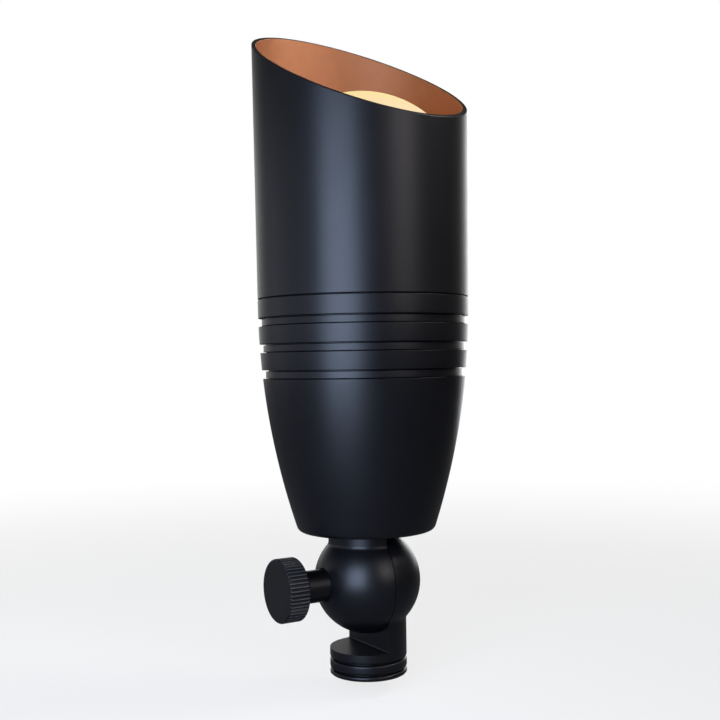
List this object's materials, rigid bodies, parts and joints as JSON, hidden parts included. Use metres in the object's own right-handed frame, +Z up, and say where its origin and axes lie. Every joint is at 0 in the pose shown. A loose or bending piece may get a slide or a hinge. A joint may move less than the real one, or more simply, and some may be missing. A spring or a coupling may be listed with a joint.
{
  "type": "landscape spotlight",
  "caption": "Bullet-shaped landscape spotlight with a slant-cut hood, copper inside, on a tapered grooved housing, tilting on a split ball knuckle with a thumbscrew and threaded base.",
  "frame": {"origin": "centre of the mouth of the threaded socket in the base", "axes": "+Z up along the axis of the upright head, X along the tilt axis with the thumbscrew towards -X"},
  "size_m": [0.0776, 0.0776, 0.2386],
  "materials": {
    "satin_black": "cast aluminium, satin black powder coat, copper paint inside the hood",
    "lamp_glass": "frosted, lit from inside",
    "porcelain": "glazed porcelain",
    "insulator_glass": "black glass",
    "plate_aluminium": "mill finish",
    "zinc_steel": "zinc plated",
    "contact_brass": "bright",
    "cap_nickel": "nickel plated",
    "black_rubber": "matt",
    "silicone": "matt",
    "friction_fibre": "matt fibre",
    "bushing_plastic": "matt",
    "lead_black": "satin insulation",
    "lead_white": "satin insulation",
    "connector_plastic": "matt",
    "ground_green": "green dye"
  },
  "bodies": {
    "stem": {"knuckle_stem_half": "satin_black", "friction_washer": "friction_fibre", "knuckle_seal": "black_rubber"},
    "head": {"ground_screw": "ground_green", "housing": "satin_black", "knuckle_head_half": "satin_black", "lamp_cap": "cap_nickel", "lamp_envelope": "lamp_glass", "lamp_gasket": "silicone", "lamp_insulator": "insulator_glass", "lamp_tip": "contact_brass", "lead_line": "lead_black", "lead_neutral": "lead_white", "neck_lock_washer": "zinc_steel", "neck_locknut": "zinc_steel", "neck_seal_washer": "black_rubber", "socket_body": "porcelain", "socket_contact": "contact_brass", "socket_plate": "plate_aluminium", "socket_plate_screws": "zinc_steel", "socket_screws": "zinc_steel", "socket_shell": "contact_brass", "wire_bushing": "bushing_plastic", "wire_connectors": "connector_plastic"},
    "hood_carrier": {"hood_o_ring": "black_rubber"},
    "hood": {"glare_hood": "satin_black"},
    "screw_carrier": {"clamp_washer": "zinc_steel"},
    "thumbscrew": {"thumbscrew_knob": "satin_black", "thumbscrew_stud": "zinc_steel"}
  },
  "joints": [
    {"name": "head_tilt", "type": "hinge", "parent": "stem", "child": "head", "pos_m": [0, 0, 0.0334], "axis": [1, 0, 0], "range_deg": [-90, 90]},
    {"name": "hood_pull", "type": "slide", "parent": "head", "child": "hood_carrier", "axis": [0, 0, 1], "range_m": [0, 0.09]},
    {"name": "hood_turn", "type": "hinge", "parent": "hood_carrier", "child": "hood", "pos_m": [0, 0, 0.1348], "axis": [0, 0, 1], "continuous": true},
    {"name": "thumbscrew_travel", "type": "slide", "parent": "stem", "child": "screw_carrier", "axis": [-1, 0, 0], "range_m": [0, 0.002]},
    {"name": "thumbscrew_turn", "type": "hinge", "parent": "screw_carrier", "child": "thumbscrew", "pos_m": [0, 0, 0.0334], "axis": [-1, 0, 0], "range_deg": [0, 720]}
  ],
  "couplings": [
    {"joint": "thumbscrew_turn", "follows": "thumbscrew_travel", "rad_per_m": 6283.2}
  ]
}
